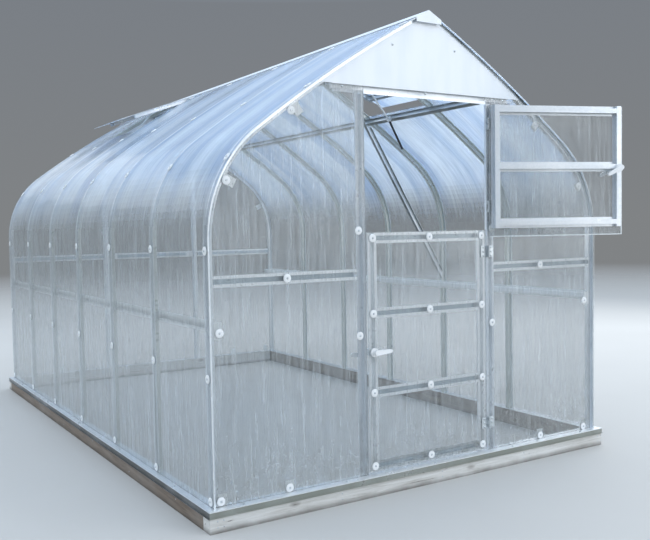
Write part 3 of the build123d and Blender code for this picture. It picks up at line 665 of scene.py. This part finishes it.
# Washers and screws of the two leaves; the upper one is swung open about the hinge axis.
# A leaf has its body, its washers' heights, its hinges' heights, how far it stands out and its turn.
LEAF_COLUMNS = (-0.358, 0.0, 0.358)
HINGE_SCREW_X = 0.027
HINGE_SCREW_STEPS = (-0.022, 0.0, 0.022)
axis = Vector((HINGE_X, HINGE_Y, 0))
swing = Matrix.Translation(axis) @ Matrix.Rotation(UPPER_ANGLE, 4, "Z") @ Matrix.Translation(-axis)
LEAVES = (
    ("lower_leaf", (0.138, 0.504, 0.896, 1.267), (0.250, 1.180), 0.0, Matrix.Identity(4)),
    ("upper_leaf", (1.329, 1.6305, 1.932), (1.420, 1.860), LEAF_STEP, swing),
)
plate_screws = Batch()
for body, heights, hinge_heights, step, turn in LEAVES:
    leaf_washers, leaf_screws = Batch(), Batch()
    for z in heights:
        for x in LEAF_COLUMNS:
            fasten(leaf_washers, leaf_screws, turn @ seat((x, SHEET_FACE - step, z), (0, -1, 0), 2 * x + z))
    for middle in hinge_heights:
        for offset in HINGE_SCREW_STEPS:
            z = middle + offset
            leaf_place = (HINGE_X - HINGE_SCREW_X, HINGE_FACE - step, z)
            post_place = (HINGE_X + HINGE_SCREW_X, HINGE_FACE, z)
            leaf_screws.add(SMALL_SCREW, turn @ seat(leaf_place, (0, -1, 0), z))
            plate_screws.add(SMALL_SCREW, seat(post_place, (0, -1, 0), middle - offset))
    leaf_washers.build(f"{body}_washers", body, "white_fittings", white)
    leaf_screws.build(f"{body}_screws", body, "hinge_steel", hinge_metal)

# Screws of the gable plates and headers: x, height and depth behind the gable
PLATE_SCREWS = ((-0.218, 2.216, PLATE_FACE), (0.183, 2.222, PLATE_FACE), (-0.014, 1.990, WEB_FACE),
                (-0.520, 1.990, WEB_FACE), (0.520, 1.990, WEB_FACE))
for x, z, depth in PLATE_SCREWS:
    plate_screws.add(SMALL_SCREW, seat((x, depth, z), (0, -1, 0), x))
    plate_screws.add(SMALL_SCREW, seat((x, LENGTH - depth, z), (0, 1, 0), x))
plate_screws.build("plate_screws", "greenhouse", "hinge_steel", hinge_metal)

# Screws down through the base rail's ledge into the timber, and nails in the beams
ANCHORS = 5
ANCHOR_REACH = 1.10
NAIL_HEIGHTS = (0.026, 0.054)
NAIL_COLUMNS = (-1.252, -1.222, -0.60, 0.02, 0.61, 1.222, 1.252)
NAIL_STRAY = 0.02
NAIL_WAVE = 40
base_screws, nails = Batch(), Batch()
for k in range(ANCHORS):
    across = (2 * k / (ANCHORS - 1) - 1) * ANCHOR_REACH
    down = (k + 0.5) / ANCHORS * LENGTH
    for sign in (-1, 1):
        ledge_x = sign * (HALF_WIDTH + LEDGE_MIDDLE)
        ledge_y = -LEDGE_MIDDLE if sign < 0 else LENGTH + LEDGE_MIDDLE
        base_screws.add(SMALL_SCREW, seat((across, ledge_y, LEDGE_TOP), (0, 0, 1), across))
        base_screws.add(SMALL_SCREW, seat((ledge_x, down, LEDGE_TOP), (0, 0, 1), down))
for sign in (-1, 1):
    beam_x = sign * (HALF_WIDTH + BEAM_FACE)
    beam_y = -BEAM_FACE if sign < 0 else LENGTH + BEAM_FACE
    for x in NAIL_COLUMNS:
        for z in NAIL_HEIGHTS:
            nails.add(NAIL, seat((x + NAIL_STRAY * math.sin(NAIL_WAVE * z), beam_y, z), (0, sign, 0)))
    for k in range(1, BAYS):
        y = arch_y(k) + 0.5 * PITCH
        nails.add(NAIL, seat((beam_x, y, NAIL_HEIGHTS[k % 2]), (sign, 0, 0)))
base_screws.build("base_screws", "greenhouse", "hinge_steel", hinge_metal)
nails.build("nails", "greenhouse", "hinge_steel", hinge_metal)


# Pale floor that fades into the studio's grey far from the greenhouse
FLOOR = 60.0
FADE_FROM, FADE_TO = 7.0, 24.0
FLOOR_ROUGHNESS = 0.9
g = Graph("studio_floor")
flat = g.axes(g.place)
distance = g.math("SQRT", g.math("ADD", g.math("POWER", flat["X"], 2.0), g.math("POWER", flat["Y"], 2.0)))
floor_material = g.done(
    Base_Color=g.mix(g.noise(g.place, scale=0.8, detail=4.0), rgb(0.53, 0.51, 0.48), rgb(0.57, 0.55, 0.52)),
    Roughness=FLOOR_ROUGHNESS, Alpha=g.span(distance, FADE_FROM, FADE_TO, 1.0, 0.0),
)
floor_mesh = bpy.data.meshes.new("floor")
floor_corners = [(-FLOOR, -FLOOR, 0), (FLOOR, -FLOOR, 0), (FLOOR, FLOOR, 0), (-FLOOR, FLOOR, 0)]
floor_mesh.from_pydata(floor_corners, [], [(0, 1, 2, 3)])
floor_mesh.materials.append(floor_material)
floor = bpy.data.objects.new("floor", floor_mesh)
bpy.context.scene.collection.objects.link(floor)

# Studio dome by the sine of the angle above the horizon: grey low down, a large soft pale-blue light overhead
DOME_GREY = rgb(0.145, 0.152, 0.157)
DOME = (
    (-1.0, DOME_GREY), (0.0, DOME_GREY), (0.26, rgb(0.13, 0.142, 0.158)),
    (0.36, rgb(0.46, 0.60, 0.82)), (0.60, rgb(0.74, 0.86, 1.0)),
)
DOME_STRENGTH = 1.5
world = bpy.data.worlds.new("studio")
world.use_nodes = True
dome = world.node_tree
direction = dome.nodes.new("ShaderNodeTexCoord")
split = dome.nodes.new("ShaderNodeSeparateXYZ")
level = dome.nodes.new("ShaderNodeMapRange")
level.inputs["From Min"].default_value = -1.0
ramp = dome.nodes.new("ShaderNodeValToRGB")
while len(ramp.color_ramp.elements) < len(DOME):
    ramp.color_ramp.elements.new(0.5)
for element, (sine, colour) in zip(ramp.color_ramp.elements, DOME):
    element.position = (sine + 1) / 2
    element.color = colour
dome.links.new(direction.outputs["Generated"], split.inputs["Vector"])
dome.links.new(split.outputs["Z"], level.inputs["Value"])
dome.links.new(level.outputs["Result"], ramp.inputs["Fac"])
dome.links.new(ramp.outputs["Color"], dome.nodes["Background"].inputs["Color"])
dome.nodes["Background"].inputs["Strength"].default_value = DOME_STRENGTH
bpy.context.scene.world = world


def softbox(name, location, target, size, radiance, colour, through=False):
    """Soft area light of a given brightness; it shows in reflections, not to the camera.

    through lets it shine through the sheets' haze.
    """
    data = bpy.data.lights.new(name, "AREA")
    data.shape = "RECTANGLE"
    data.size, data.size_y = size
    data.energy = radiance * math.pi * size[0] * size[1]
    data.color = colour
    light = bpy.data.objects.new(name, data)
    turn = (Vector(target) - Vector(location)).to_track_quat("-Z", "Y").to_matrix().to_4x4()
    light.matrix_world = Matrix.Translation(Vector(location)) @ turn
    light.visible_camera = False
    light.visible_transmission = through
    bpy.context.scene.collection.objects.link(light)


# Place, target, width and height, brightness and colour of each light
WARM, COOL = (1.0, 0.98, 0.95), (0.97, 0.99, 1.0)
softbox("key", (4.5, -6.0, 6.5), (0, 1.0, 1.0), (3.0, 3.0), 3.2, WARM)
softbox("front_card", (10.0, -15.0, 4.0), (0, 0.0, 1.2), (15.0, 7.3), 1.8, (0.95, 0.98, 1.0))
softbox("roof_card", (-4.0, 16.0, 6.0), (-0.6, 2.0, 1.9), (12.0, 3.0), 0.8, (0.90, 0.96, 1.0))
softbox("side_card", (-15.0, 12.0, 3.2), (-1.2, 1.5, 1.0), (8.5, 6.0), 2.2, COOL)
softbox("slope_card", (7.0, 4.0, 5.5), (0.9, 2.2, 1.9), (5.0, 5.0), 3.0, COOL, through=True)

# Sheet surfaces that a line of sight may pass
SHEET_SURFACES = 36
bpy.context.scene.cycles.transparent_max_bounces = SHEET_SURFACES
bpy.context.scene.view_settings.view_transform = "Standard"
